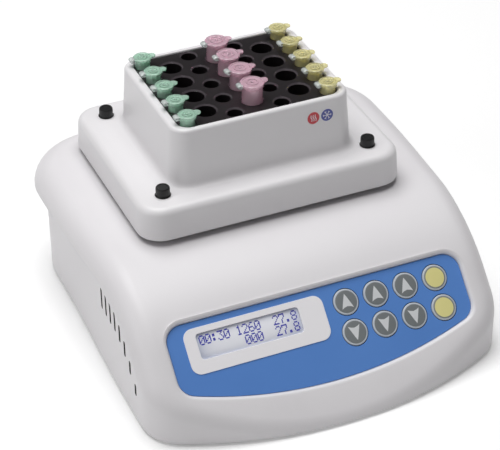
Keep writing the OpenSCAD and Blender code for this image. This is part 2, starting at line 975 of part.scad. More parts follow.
module key(c, r, tint) {
    color(tint) {
        on_panel() {
            translate([key_x0 + c * key_dx, key_v0 - r * key_dy, 0]) {
                translate([0, 0, 1 - pad_deep]) cylinder(d1 = key_d, d2 = key_d - 1, h = 0.3);
                translate([0, 0, -1.1 - pad_deep]) cylinder(d = key_d, h = 2.1);
                translate([0, 0, 2 + key_travel - board_deep]) {
                    cylinder(d = 4, h = board_deep - pad_deep - 2.6);
                }
            }
        }
    }
}

module key_up_1() {
    key(0, 0, "#6f7475");
}

module key_up_2() {
    key(1, 0, "#6f7475");
}

module key_up_3() {
    key(2, 0, "#6f7475");
}

module key_round_1() {
    key(3, 0, "#e9e08f");
}

module key_down_1() {
    key(0, 1, "#6f7475");
}

module key_down_2() {
    key(1, 1, "#6f7475");
}

module key_down_3() {
    key(2, 1, "#6f7475");
}

module key_round_2() {
    key(3, 1, "#e9e08f");
}

// Closed tube: d body, lip height over the block, straight and total depth, tip.
module tube(d, lip_z, straight, deep, tip, cap) {
    difference() {
        union() {
            translate([0, 0, -straight]) cylinder(d = d, h = straight + lip_z);
            translate([0, 0, -deep]) cylinder(d1 = tip, d2 = d, h = deep - straight);
            translate([0, 0, lip_z - 0.9]) cylinder(d = cap - 0.6, h = 0.9);
        }
        translate([0, 0, -straight]) cylinder(d = d - 1.8, h = straight + lip_z + 1);
        translate([0, 0, 1.5 - deep]) cylinder(d1 = tip - 1.6, d2 = d - 1.8, h = deep - straight - 1.5);
    }
    translate([0, 0, lip_z]) {
        cylinder(d = cap, h = 1.5);
        translate([0, 0, -3]) cylinder(d = d - 1.9, h = 3.2);
        translate([-cap / 2 - 2.2, -2, -0.9]) cube([3, 4, 2.2]);
        translate([cap / 2 - 1, -2.4, 0.3]) cube([3.6, 4.8, 1]);
    }
}

module small_tube(c, r, tint) {
    color(tint) {
        on_carrier() translate([c * col_p, r * row_p, block_top]) {
            tube(small_d - 2 * tube_gap, 4.5, 12.9, small_deep - tube_gap, 4.3, 10);
        }
    }
}

module large_tube(r) {
    color("#e3b3c6") {
        on_carrier() translate([0, r * row_p, block_top]) {
            tube(big_d - 2 * tube_gap, 9.3, 11.9, big_deep - tube_gap, 4.5, 12.6);
        }
    }
}

module small_tube_a1() {
    small_tube(-3, 2, "#a9dcc0");
}

module small_tube_a2() {
    small_tube(-3, 1, "#a9dcc0");
}

module small_tube_a3() {
    small_tube(-3, 0, "#a9dcc0");
}

module small_tube_a4() {
    small_tube(-3, -1, "#a9dcc0");
}

module small_tube_a5() {
    small_tube(-3, -2, "#a9dcc0");
}

module large_tube_d1() {
    large_tube(1.5);
}

module large_tube_d2() {
    large_tube(0.5);
}

module large_tube_d3() {
    large_tube(-0.5);
}

module large_tube_d4() {
    large_tube(-1.5);
}

module small_tube_g1() {
    small_tube(3, 2, "#ebe49a");
}

module small_tube_g2() {
    small_tube(3, 1, "#ebe49a");
}

module small_tube_g3() {
    small_tube(3, 0, "#ebe49a");
}

module small_tube_g4() {
    small_tube(3, -1, "#ebe49a");
}

module small_tube_g5() {
    small_tube(3, -2, "#ebe49a");
}

upper_housing();
base_pan();
rubber_feet();
housing_screws();
keypad_overlay();
display_inlay();
display_window();
lcd_module();
control_board();
main_board();
ribbon_cable();
power_inlet();
power_switch_case();
switch_rocker();
fan_frame();
fan_rotor();
motor_bracket();
motor_can();
motor_shaft();
motor_pulley();
drive_belt();
bearing_housing();
spindle_bearings();
spindle();
spindle_pulley();
counterweight();
flex_posts();
carrier_plate();
eccentric_bearing();
peltier_modules();
heat_plate();
tube_block();
block_cover();
thumb_screw_1();
thumb_screw_2();
thumb_screw_3();
thumb_screw_4();
key_up_1();
key_up_2();
key_up_3();
key_round_1();
key_down_1();
key_down_2();
key_down_3();
key_round_2();
small_tube_a1();
small_tube_a2();
small_tube_a3();
small_tube_a4();
small_tube_a5();
large_tube_d1();
large_tube_d2();
large_tube_d3();
large_tube_d4();
small_tube_g1();
small_tube_g2();
small_tube_g3();
small_tube_g4();
small_tube_g5();
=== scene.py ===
import json
import math

import bmesh
import bpy
from mathutils import Matrix, Vector
from mathutils.geometry import delaunay_2d_cdt


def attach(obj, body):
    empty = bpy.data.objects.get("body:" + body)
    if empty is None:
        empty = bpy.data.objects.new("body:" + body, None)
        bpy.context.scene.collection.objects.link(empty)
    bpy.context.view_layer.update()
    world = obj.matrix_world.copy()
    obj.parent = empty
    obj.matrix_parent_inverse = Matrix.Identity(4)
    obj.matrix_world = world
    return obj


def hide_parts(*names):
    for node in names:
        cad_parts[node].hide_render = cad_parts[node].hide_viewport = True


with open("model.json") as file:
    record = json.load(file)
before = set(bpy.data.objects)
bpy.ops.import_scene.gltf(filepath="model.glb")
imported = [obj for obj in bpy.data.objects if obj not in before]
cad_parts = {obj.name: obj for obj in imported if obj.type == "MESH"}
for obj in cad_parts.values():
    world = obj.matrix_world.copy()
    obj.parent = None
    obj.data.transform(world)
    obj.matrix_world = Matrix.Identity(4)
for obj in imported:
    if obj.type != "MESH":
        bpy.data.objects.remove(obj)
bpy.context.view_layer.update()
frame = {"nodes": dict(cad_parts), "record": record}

MM = 0.001
PI = math.pi
# Edges that turn by more than this many degrees are drawn sharp.
SHARP = 34

# Housing, in millimetres. Its flat top lies 1.4 mm lower than in the part's source, so that
# the dark gap under the cover shows, and the bend moves with it. The roll draws in from HALF
# at the rear to NOSE_HALF at the nose, and FOLD is the height in which it meets the wall.
TOP = 67.1
EDGE = 2.0
ROLL = 12.0
FOLD = 5.0
WALL = 2.6
HALF = 100.0
NOSE_HALF = 96.4
FRONT = -107.3
REAR = 107.3
REAR_CORNER = 38.0
NOSE_CORNER = 22.0
NOSE_R = 216.0
BEND_R = 80.0
BEND_Y = -10.96
BEND_Z = TOP - BEND_R
SLOPE = math.radians(45)
SLOPE_C = 111.2
WELL = (64.5, 49.5, 8.0)
WELL_Y = 36.2
# Air slots in the sides, from the first one forward, 0.4 mm wider than in the source so that they show.
SLOT_N = 8
SLOT_Y = -16.4
SLOT_STEP = 6.65
SLOT_TOP = 50.3
SLOT_TALL = 12.6
SLOT_W = 2.2
# Keypad pocket on the slope, the middle of its top edge, and the display in it.
PAN_Y = -60.2
PAN_Z = 51.0
PAD_DEEP = 2.8
WIN_X = -37.6
WIN_V = -13.1
# Block with its sockets, and the cover: half width, half depth and corner of each step.
BLOCK_Y = 37.2
BLOCK_TOP = 119.0
COL = 12.81
ROW = 15.5
FOOT = 70.2
FOOT_TOP = 87.7
FOOT_HX, FOOT_HY, FOOT_R = 72.0, 56.1, 13.0
HOOD_HX, HOOD_HY, HOOD_R = 48.4, 39.2, 9.0
MOUTH_HX, MOUTH_HY, MOUTH_R = 43.7, 36.1, 6.3
SKIRT = 2.3
RIM = 119.9
KNOB_X = 56.6
KNOB_Y = 41.3


# Camera: a 134 mm lens, the photograph's angle.

def make_camera():
    turn, lift, roll = map(math.radians, (-23.19, 34.91, 0.59))
    back = Vector((math.sin(turn) * math.cos(lift), -math.cos(turn) * math.cos(lift), math.sin(lift)))
    right = Vector((math.cos(turn), math.sin(turn), 0))
    up = back.cross(right)
    across = right * math.cos(roll) - up * math.sin(roll)
    upward = right * math.sin(roll) + up * math.cos(roll)
    data = bpy.data.cameras.new("view")
    data.lens = 134.285
    data.sensor_width = 36
    data.clip_start = 0.05
    data.clip_end = 20
    camera = bpy.data.objects.new("view", data)
    camera.matrix_world = Matrix((
        (across.x, upward.x, back.x, -0.31956),
        (across.y, upward.y, back.y, -0.72737),
        (across.z, upward.z, back.z, 0.60517),
        (0, 0, 0, 1)))
    bpy.context.scene.collection.objects.link(camera)
    bpy.context.scene.camera = camera


make_camera()
bpy.context.scene.view_settings.view_transform = "Standard"


# Materials.

def colour(code):
    """An sRGB hex code as linear red, green, blue and 1."""
    parts = [int(code[k:k + 2], 16) / 255 for k in (1, 3, 5)]
    return [c / 12.92 if c <= 0.04045 else ((c + 0.055) / 1.055) ** 2.4 for c in parts] + [1.0]


def add(tree, kind, inputs=None, **settings):
    """One node with its settings, its values and its links."""
    n = tree.nodes.new("ShaderNode" + kind)
    for key, value in settings.items():
        setattr(n, key, value)
    for key, value in (inputs or {}).items():
        if isinstance(value, bpy.types.NodeSocket):
            tree.links.new(value, n.inputs[key])
        else:
            n.inputs[key].default_value = value
    return n


def finish(name, **values):
    """An empty material with its shader; values go on the shader's own sockets."""
    mat = bpy.data.materials.new(name)
    mat.use_nodes = True
    tree = mat.node_tree
    shader = tree.nodes["Principled BSDF"]
    for key, value in values.items():
        shader.inputs[key.replace("_", " ")].default_value = value
    place = add(tree, "TexCoord").outputs["Object"]
    return mat, tree, shader, place


def grain(tree, shader, place, size, depth, strength=1.0):
    """Fine relief of a given width and depth, both in millimetres."""
    noise = add(tree, "TexNoise", {"Vector": place, "Scale": 1 / (size * MM), "Detail": 2.0})
    bump = add(tree, "Bump", {"Height": noise.outputs["Fac"], "Distance": depth * MM, "Strength": strength})
    tree.links.new(bump.outputs["Normal"], shader.inputs["Normal"])


def drift(tree, shader, place, size, one, two, roughness=None):
    """Slow change of colour, and of roughness, over patches of a given width in millimetres."""
    noise = add(tree, "TexNoise", {"Vector": place, "Scale": 1 / (size * MM), "Detail": 3.0})
    mix = add(tree, "Mix", {
        "Factor": noise.outputs["Fac"], "A": colour(one), "B": colour(two)}, data_type="RGBA")
    tree.links.new(mix.outputs[2], shader.inputs["Base Color"])
    if roughness:
        span = add(tree, "MapRange", {
            "Value": noise.outputs["Fac"], "To Min": roughness[0], "To Max": roughness[1]})
        tree.links.new(span.outputs["Result"], shader.inputs["Roughness"])
    return mix


def moulded(name, one, two, rough, size=0.7, depth=0.012):
    # Injection moulded plastic or rubber: its colour and gloss drift slowly over a fine skin.
    mat, tree, shader, place = finish(name, IOR=1.5)
    grain(tree, shader, place, size, depth)
    drift(tree, shader, place, 45, one, two, (rough - 0.04, rough + 0.04))
    return mat


# Moulded ABS: a pale grey-white with a spark-eroded skin that breaks up the gloss.
# The real skin is about 0.2 mm wide. It is drawn at 0.7 mm so that it shows.
abs_shell = moulded("abs_moulded_matt", "#e6e3e6", "#eae8ea", 0.42)
# The same ABS on the cover of the block, a little cooler and smoother.
abs_cover = moulded("abs_moulded_cover", "#e9e7e9", "#eceaec", 0.38, 0.6, 0.008)
# Inner faces of the louvres and openings: the same moulding, darkened with painted shade as if they lay in
# shadow.
abs_painted_shade = moulded("abs_moulded_painted_shade", "#26282a", "#303234", 0.6)
# Black nylon: deep black with a dull moulded skin.
nylon_black = moulded("nylon_moulded_black", "#08080a", "#0d0d0f", 0.42, 0.5, 0.01)
# Dark ABS of the switch, the fan and other inner pieces: charcoal and even.
plastic_dark = moulded("abs_moulded_dark", "#222326", "#2a2c2f", 0.45)
# Rubber of the feet and the belt: flat black with a chalky bloom.
rubber = moulded("rubber_moulded", "#1b1b1b", "#262626", 0.75, 0.5, 0.02)
belt_rubber = moulded("rubber_belt", "#202020", "#2a2a2a", 0.65, 0.4, 0.02)
# Ribbon cable: plain grey vinyl.
ribbon = moulded("pvc_ribbon", "#8f959b", "#a2a7ac", 0.4)


def printed(name, one, two, rough):
    # Printed polycarbonate film: even ink under a fine satin texture, about 0.3 mm wide.
    mat, tree, shader, place = finish(name, IOR=1.58)
    shader.inputs["Coat Weight"].default_value = 0.15
    shader.inputs["Coat Roughness"].default_value = 0.3
    grain(tree, shader, place, 0.5, 0.006)
    drift(tree, shader, place, 30, one, two, (rough - 0.03, rough + 0.03))
    return mat


film_blue = printed("polycarbonate_film_blue", "#5789d3", "#5d90da", 0.4)
film_white = printed("polycarbonate_film_white", "#f9f7fa", "#fdfbfe", 0.4)
key_grey = printed("polycarbonate_key_grey", "#74797b", "#7f8486", 0.42)
key_yellow = printed("polycarbonate_key_yellow", "#e6dd92", "#ece59f", 0.42)
key_ring = printed("polycarbonate_key_ring", "#b9c0c8", "#c8ced4", 0.42)
ring_grey = printed("polycarbonate_ring_grey", "#7e8384", "#8a8f90", 0.42)
mark_pale = printed("ink_pale", "#d6d9db", "#e2e4e6", 0.45)
ink_red = printed("ink_red", "#c32430", "#cc2c38", 0.4)
ink_blue = printed("ink_blue", "#3c489a", "#4450a4", 0.4)
ink_white = printed("ink_white", "#e4e2ea", "#eceaf0", 0.45)


def anodised(name, one, two, rough, glint_colour, glint_rough):
    # Anodised aluminium: dyed oxide with a silky sheen. The chamfers round its bores get a painted highlight
    # in a lighter colour, and a lower roughness.
    mat, tree, shader, place = finish(name, Metallic=0.35)
    grain(tree, shader, place, 0.4, 0.004)
    mix = drift(tree, shader, place, 12, one, two)
    normal = add(tree, "NewGeometry").outputs["Normal"]
    split = add(tree, "SeparateXYZ", {"Vector": normal})
    low = add(tree, "Math", {0: split.outputs["Z"], 1: 0.45}, operation="GREATER_THAN")
    high = add(tree, "Math", {0: split.outputs["Z"], 1: 0.93}, operation="LESS_THAN")
    edge = add(tree, "Math", {0: low.outputs[0], 1: high.outputs[0]}, operation="MULTIPLY")
    # Painted highlight: the chamfers, found by how far they lean, take the lighter glint colour.
    tint = add(tree, "Mix", {
        "Factor": edge.outputs[0], "A": mix.outputs[2], "B": colour(glint_colour)}, data_type="RGBA")
    tree.links.new(tint.outputs[2], shader.inputs["Base Color"])
    span = add(tree, "MapRange", {"Value": edge.outputs[0], "To Min": rough, "To Max": glint_rough})
    tree.links.new(span.outputs["Result"], shader.inputs["Roughness"])
    return mat


# The last two values are the painted highlight colour on the chamfers and their roughness.
block_black = anodised("aluminium_anodised_black", "#242022", "#2b2629", 0.36, "#5a5358", 0.22)


def metal(name, one, two, rough, along=None):
    # Turned or brushed metal: fine lines left by the tool, about 0.3 mm apart.
    mat, tree, shader, place = finish(name, Metallic=1.0)
    if along:
        stretch = add(tree, "Mapping", {"Vector": place, "Scale": along})
        place = stretch.outputs["Vector"]
    grain(tree, shader, place, 0.3, 0.004, 0.6)
    drift(tree, shader, place, 8, one, two, (rough - 0.06, rough + 0.06))
    return mat


steel_screw = metal("steel_zinc_plated", "#8d9196", "#a0a3a7", 0.35)
steel_turned = metal("steel_turned", "#b4b7ba", "#c6c8ca", 0.28, (1, 1, 0.1))
aluminium = metal("aluminium_milled", "#b9bcbf", "#c8cbcd", 0.35, (0.12, 1, 1))
brass = metal("brass_turned", "#b8964e", "#c8a65c", 0.3, (1, 1, 0.1))
# Sintered alumina: chalk white and dull.
ceramic = moulded("alumina_sintered", "#dedcd4", "#e8e6df", 0.55, 0.5, 0.006)


def circuit(name):
    # Solder mask over glass laminate: green gloss with lighter copper tracks 1.2 mm apart.
    mat, tree, shader, place = finish(name, IOR=1.55, Roughness=0.3)
    tracks = add(tree, "TexBrick", {
        "Vector": place, "Scale": 1 / (6 * MM), "Color1": colour("#235c39"),
        "Color2": colour("#2a6b42"), "Mortar": colour("#4b8a5c"), "Mortar Size": 0.02})
    tree.links.new(tracks.outputs["Color"], shader.inputs["Base Color"])
    grain(tree, shader, place, 0.8, 0.01)
    return mat


board = circuit("laminate_solder_mask")


def tube_plastic(name, deep, pale):
    # Injection-moulded polypropylene: milky and tinted, and light passes through its thin walls.
    mat, tree, shader, place = finish(name, IOR=1.49, Roughness=0.22)
    shader.inputs["Transmission Weight"].default_value = 0.6
    shader.inputs["Coat Weight"].default_value = 0.25
    shader.inputs["Coat Roughness"].default_value = 0.12
    grain(tree, shader, place, 0.6, 0.006, 0.6)
    weight = add(tree, "LayerWeight", {"Blend": 0.35})
    mix = add(tree, "Mix", {
        "Factor": weight.outputs["Facing"], "A": colour(pale), "B": colour(deep)}, data_type="RGBA")
    tree.links.new(mix.outputs[2], shader.inputs["Base Color"])
    return mat


tube_green = tube_plastic("polypropylene_green", "#c0ebd5", "#dcf7e8")
tube_pink = tube_plastic("polypropylene_pink", "#f2c3d7", "#fbe3ed")
tube_yellow = tube_plastic("polypropylene_yellow", "#f4eba6", "#fcf8cf")
strap_clear = tube_plastic("polypropylene_clear", "#e3ebe9", "#f1f5f4")


def display(name):
    # Liquid crystal behind clear acrylic: pale lilac grey, with painted shade along its edges where the frame
    # would shade it.
    mat, tree, shader, place = finish(name, IOR=1.49, Roughness=0.12)
    # The shift, in metres, to a point just under the middle of the window, and how far the clear
    # field reaches from there.
    shift = (0.0376, 0.0695, -0.0398)
    half_x, half_z = 0.0272, 0.0046
    local = add(tree, "Mapping", {"Vector": place, "Location": shift}, vector_type="POINT")
    split = add(tree, "SeparateXYZ", {"Vector": local.outputs["Vector"]})
    side = add(tree, "Math", {0: split.outputs["X"], 1: half_x}, operation="DIVIDE")
    side2 = add(tree, "Math", {0: side.outputs[0], 1: 6.0}, operation="POWER")
    rise = add(tree, "Math", {0: split.outputs["Z"], 1: half_z}, operation="DIVIDE")
    rise2 = add(tree, "Math", {0: rise.outputs[0], 1: 4.0}, operation="POWER")
    near = add(tree, "Math", {0: side2.outputs[0], 1: rise2.outputs[0]}, operation="ADD")
    # The darker colour is painted shade, which grows towards the edges of the window.
    mix = add(tree, "Mix", {
        "Factor": near.outputs[0], "A": colour("#f6f7fe"), "B": colour("#ccd1e2")},
        data_type="RGBA", clamp_factor=True)
    tree.links.new(mix.outputs[2], shader.inputs["Base Color"])
    grain(tree, shader, place, 2.5, 0.004, 0.5)
    return mat


lcd_glass = display("lcd_acrylic_cover")
ink_digit = printed("lcd_segment_violet", "#2c2fae", "#3639b8", 0.3)

FINISH = {
    "housing_abs": abs_shell, "dark_plastic": plastic_dark, "rubber": rubber,
    "screw_steel": steel_screw, "overlay_blue": film_blue, "overlay_white": film_white,
    "clear_window": lcd_glass, "circuit_board": board, "key_grey": key_grey,
    "key_yellow": key_yellow, "aluminium": aluminium, "black_aluminium": block_black,
    "turned_steel": steel_turned, "brass": brass, "belt_rubber": belt_rubber,
    "ceramic_white": ceramic, "knob_black": nylon_black, "tube_green": tube_green,
    "tube_pink": tube_pink, "tube_yellow": tube_yellow, "ribbon": ribbon,
}

for part in frame["record"]["subparts"]:
    made = frame["nodes"][part["node"]]
    if not made.material_slots:
        made.data.materials.append(None)
    for held in made.material_slots:
        held.material = FINISH[part["material_slot"]]


# Mesh tools, all in millimetres.

def arc(x, y, r, start, end, n):
    """Points on an arc, its angles in degrees."""
    turns = [math.radians(start + (end - start) * k / n) for k in range(n + 1)]
    return [(x + r * math.cos(a), y + r * math.sin(a)) for a in turns]


def rounded(hx, hy, r, n=7):
    """Rounded rectangle about the origin, anticlockwise."""
    return (arc(hx - r, hy - r, r, 0, 90, n) + arc(r - hx, hy - r, r, 90, 180, n)
            + arc(r - hx, r - hy, r, 180, 270, n) + arc(hx - r, r - hy, r, 270, 360, n))


def on_panel(u, v, w):
    """A point u across the slope, v up it and w out of it, from the top edge of the keypad."""
    c = math.cos(SLOPE)
    s = math.sin(SLOPE)
    return Vector((u, PAN_Y + v * c - w * s, PAN_Z + v * s + w * c))


def strip(bm, first, second, tint=0):
    """Quads between two rings of vertices."""
    n = len(first)
    for k in range(n):
        a, b, c, d = first[k], first[(k + 1) % n], second[(k + 1) % n], second[k]
        corners = [v for i, v in enumerate((a, b, c, d)) if v not in (a, b, c, d)[:i]]
        if len(corners) > 2:
            bm.faces.new(corners).material_index = tint


def loft(bm, rings, caps=(True, True), round_trip=False, tint=0):
    """A skin over a row of rings of points, with flat ends or joined end to end."""
    made = [[bm.verts.new(p) for p in ring] for ring in rings]
    for first, second in zip(made, made[1:]):
        strip(bm, first, second, tint)
    if round_trip:
        strip(bm, made[-1], made[0], tint)
        return
    if caps[0]:
        bm.faces.new(made[0][::-1]).material_index = tint
    if caps[1]:
        bm.faces.new(made[-1]).material_index = tint


def lathe(bm, profile, n=40, tint=0, wave=None):
    """A turned form from (radius, height) pairs. Radius 0 closes it and wave(angle, k) scales one."""
    before = None
    for k, (r, z) in enumerate(profile):
        if r == 0:
            ring = [bm.verts.new((0, 0, z))] * n
        else:
            ring = []
            for i in range(n):
                a = 2 * PI * i / n
                s = r * (wave(a, k) if wave else 1)
                ring.append(bm.verts.new((s * math.cos(a), s * math.sin(a), z)))
        if before:
            strip(bm, before, ring, tint)
        before = ring


def mesh_of(name, bm, materials, angle=SHARP):
    """Joins doubled points, turns the faces outward and makes a mesh in metres."""
    bmesh.ops.remove_doubles(bm, verts=bm.verts, dist=0.0005)
    bmesh.ops.recalc_face_normals(bm, faces=bm.faces)
    for v in bm.verts:
        v.co *= MM
    mesh = bpy.data.meshes.new(name)
    bm.to_mesh(mesh)
    bm.free()
    for m in materials:
        mesh.materials.append(m)
    mesh.shade_smooth()
    mesh.set_sharp_from_angle(angle=math.radians(angle))
    return mesh


def put(name, mesh, body, stands_for=(), at=(0, 0, 0)):
    """A piece that rides a body and may stand for solids of the part."""
    made = bpy.data.objects.new(name, mesh)
    made.location = Vector(at) * MM
    bpy.context.scene.collection.objects.link(made)
    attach(made, body)
    if stands_for:
        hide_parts(*stands_for)
    return made


def carve(made, cutters):
    """Takes a closed mesh of cutters out of a piece. The cut faces get a painted shade."""
    mesh = mesh_of("cutters", cutters, [abs_painted_shade])
    tool = bpy.data.objects.new("cutters", mesh)
    bpy.context.scene.collection.objects.link(tool)
    step = made.modifiers.new("cut", "BOOLEAN")
    step.operation = "DIFFERENCE"
    step.solver = "EXACT"
    step.material_mode = "TRANSFER"
    step.object = tool
    settle(made)
    bpy.data.objects.remove(tool)
    bpy.data.meshes.remove(mesh)


def settle(made):
    """Applies the modifiers of a piece to its mesh."""
    graph = bpy.context.evaluated_depsgraph_get()
    old = made.data
    name = old.name
    new = bpy.data.meshes.new_from_object(made.evaluated_get(graph))
    made.modifiers.clear()
    made.data = new
    bpy.data.meshes.remove(old)
    new.name = name
    new.shade_smooth()
    new.set_sharp_from_angle(angle=math.radians(SHARP))


# Upper housing.

def top_z(y):
    """Height of the top: level, then bent, then sloped."""
    if y >= BEND_Y:
        return TOP
    if y >= BEND_Y - BEND_R * math.sin(SLOPE):
        return BEND_Z + math.sqrt(BEND_R ** 2 - (y - BEND_Y) ** 2)
    return y + SLOPE_C


def roll_centre(y):
    """Height of the middle of the shoulder roll, and the direction square to the top there."""
    inner = BEND_R - ROLL
    if y >= BEND_Y:
        return TOP - ROLL, Vector((0, 0, 1))
    if y >= BEND_Y - inner * math.sin(SLOPE):
        a = math.asin((BEND_Y - y) / inner)
        return BEND_Z + inner * math.cos(a), Vector((0, -math.sin(a), math.cos(a)))
    return y + SLOPE_C - ROLL * math.sqrt(2), Vector((0, -math.sin(SLOPE), math.cos(SLOPE)))


def flare(y):
    """0 at the nose and 1 at the rear, where the roll stands out over the lower wall."""
    t = min(1.0, max(0.0, (y + 45.0) / 95.0))
    return t * t * (3 - 2 * t)


def stations():
    """Points round the outline, inset by the roll, with the outward direction at each."""
    yc = FRONT + NOSE_R
    cx = HALF - NOSE_CORNER
    cy = yc - math.sqrt((NOSE_R - NOSE_CORNER) ** 2 - cx * cx)
    rx = HALF - REAR_CORNER
    ry = REAR - REAR_CORNER
    turn = math.degrees(math.atan2(cx, yc - cy))
    out = []

    def bend(x, y, r, start, end, n):
        for k in range(n + 1):
            a = math.radians(start + (end - start) * k / n)
            d = Vector((math.cos(a), math.sin(a), 0))
            out.append((Vector((x, y, 0)) + d * (r - ROLL), d))

    def run(x0, y0, x1, y1, d, n):
        for k in range(1, n):
            t = k / n
            out.append((Vector((x0 + (x1 - x0) * t, y0 + (y1 - y0) * t, 0)), Vector(d)))

    bend(rx, ry, REAR_CORNER, 0, 90, 14)
    run(rx, REAR - ROLL, -rx, REAR - ROLL, (0, 1, 0), 16)
    bend(-rx, ry, REAR_CORNER, 90, 180, 14)
    run(ROLL - HALF, ry, ROLL - HALF, cy, (-1, 0, 0), 34)
    bend(-cx, cy, NOSE_CORNER, 180, 270 - turn, 12)
    bend(0, yc, NOSE_R, 270 - turn, 270 + turn, 40)
    bend(cx, cy, NOSE_CORNER, 270 + turn, 360, 12)
    run(HALF - ROLL, cy, HALF - ROLL, ry, (1, 0, 0), 34)
    kept = []
    for q, d in out:
        q.x *= (NOSE_HALF + (HALF - NOSE_HALF) * flare(q.y) - ROLL) / (HALF - ROLL)
        if not kept or (q - kept[-1][0]).length > 0.05:
            kept.append((q, d))
    return kept


def side_step(q, d):
    """How far the lower wall stands in under the roll: deep at the rear, none at the nose."""
    return (3.0 + 3.0 * abs(d.x)) * flare(q.y)


def shoulder(q, d):
    """Points from the top surface over the roll and down the wall to the bottom edge."""
    z, up = roll_centre(q.y)
    c = Vector((q.x, q.y, z))
    span = math.acos(max(-1, min(1, up.dot(d))))
    line = []
    for k in range(13):
        t = k / 12
        line.append(c + ROLL * (math.sin((1 - t) * span) * up + math.sin(t * span) * d) / math.sin(span))
    inward = side_step(q, d)
    for k in range(1, 9):
        t = k / 8
        line.append(c + d * (ROLL - inward * (1 - math.cos(PI * t)) / 2) - Vector((0, 0, FOLD * t)))
    line.append(Vector((line[-1].x, line[-1].y, EDGE)))
    for k, p in enumerate(line):
        if p.z < EDGE or (k and line[k - 1].z <= EDGE):
            before = line[k - 1]
            if before.z > EDGE:
                t = (before.z - EDGE) / (before.z - p.z)
                line[k] = before.lerp(p, t)
            else:
                line[k] = before.copy()
    return line


def pad_outline(i, w):
    """Outline of the keypad on the sloped panel, inset i, at height w over the slope."""
    r, c, half, length = 240.0, 9.0, 80.0, 47.0
    cx = half - c
    cy = -length + r - math.sqrt((r - c) ** 2 - cx * cx)
    b = math.degrees(math.atan2(cx, r - length - cy))
    step = b / 16
    flat = (arc(cx, -c, c - i, 0, 90, 9) + arc(-cx, -c, c - i, 90, 180, 9)
            + arc(-cx, cy, c - i, 180, 270 - b, 8)
            + arc(0, r - length, r - i, 270 - b + step, 270 + b - step, 30)
            + arc(cx, cy, c - i, 270 + b, 360, 8))
    return [on_panel(u, v, w) for u, v in flat]


def inside(p, loop):
    """Whether a point lies inside a closed loop."""
    odd = False
    for k, a in enumerate(loop):
        b = loop[k - 1]
        if (a.y > p.y) != (b.y > p.y) and p.x < (b.x - a.x) * (p.y - a.y) / (b.y - a.y) + a.x:
            odd = not odd
    return odd


def off_edge(p, loop):
    """Distance from a point to the nearest edge of a loop."""
    near = 1e9
    for k, a in enumerate(loop):
        b = loop[k - 1]
        run = b - a
        t = max(0, min(1, (p - a).dot(run) / max(run.length_squared, 1e-9)))
        near = min(near, (p - a - run * t).length)
    return near


def top_skin(bm, outer, holes):
    """Fills between the roll and the openings on the flat, bent and sloped top."""
    loops = [[p.xy for p in ring] for ring in [outer] + holes]
    points = [p for loop in loops for p in loop]
    edges = []
    start = 0
    for loop in loops:
        n = len(loop)
        edges += [(start + k, start + (k + 1) % n) for k in range(n)]
        start += n
    rows = ([-104 + 8 * k for k in range(5)] + [-70 + 3.5 * k for k in range(19)]
            + [4 + 8 * k for k in range(13)])
    for y in rows:
        for x in range(-96, 97, 8):
            p = Vector((x, y))
            if inside(p, loops[0]) and not any(inside(p, hole) for hole in loops[1:]):
                if min(off_edge(p, loop) for loop in loops) > 1.6:
                    points.append(p)
    done = delaunay_2d_cdt(points, edges, [], 0, 1e-5)
    made = [bm.verts.new((p.x, p.y, top_z(p.y))) for p in done[0]]
    for face in done[2]:
        mid = sum((done[0][k] for k in face), Vector((0, 0))) / len(face)
        if inside(mid, loops[0]) and not any(inside(mid, hole) for hole in loops[1:]):
            bm.faces.new([made[k] for k in face])


def capsule(bm, x0, x1, y, z0, z1, w):
    """An upright slot cutter with round ends, running from x0 to x1."""
    flat = arc(y, z1 - w / 2, w / 2, 0, 180, 6) + arc(y, z0 + w / 2, w / 2, 180, 360, 6)
    loft(bm, [[(x, a, b) for a, b in flat] for x in (x0, x1)])


def box(bm, low, high):
    """A block between two corners."""
    x0, y0, z0 = low
    x1, y1, z1 = high
    loft(bm, [[(x0, y0, z), (x1, y0, z), (x1, y1, z), (x0, y1, z)] for z in (z0, z1)])


# Middles of the eight keys on the slope, upper row first.
KEY_AT = [(15.1 + 16.6 * c, -10.8 - 15.8 * r) for r in range(2) for c in range(4)]


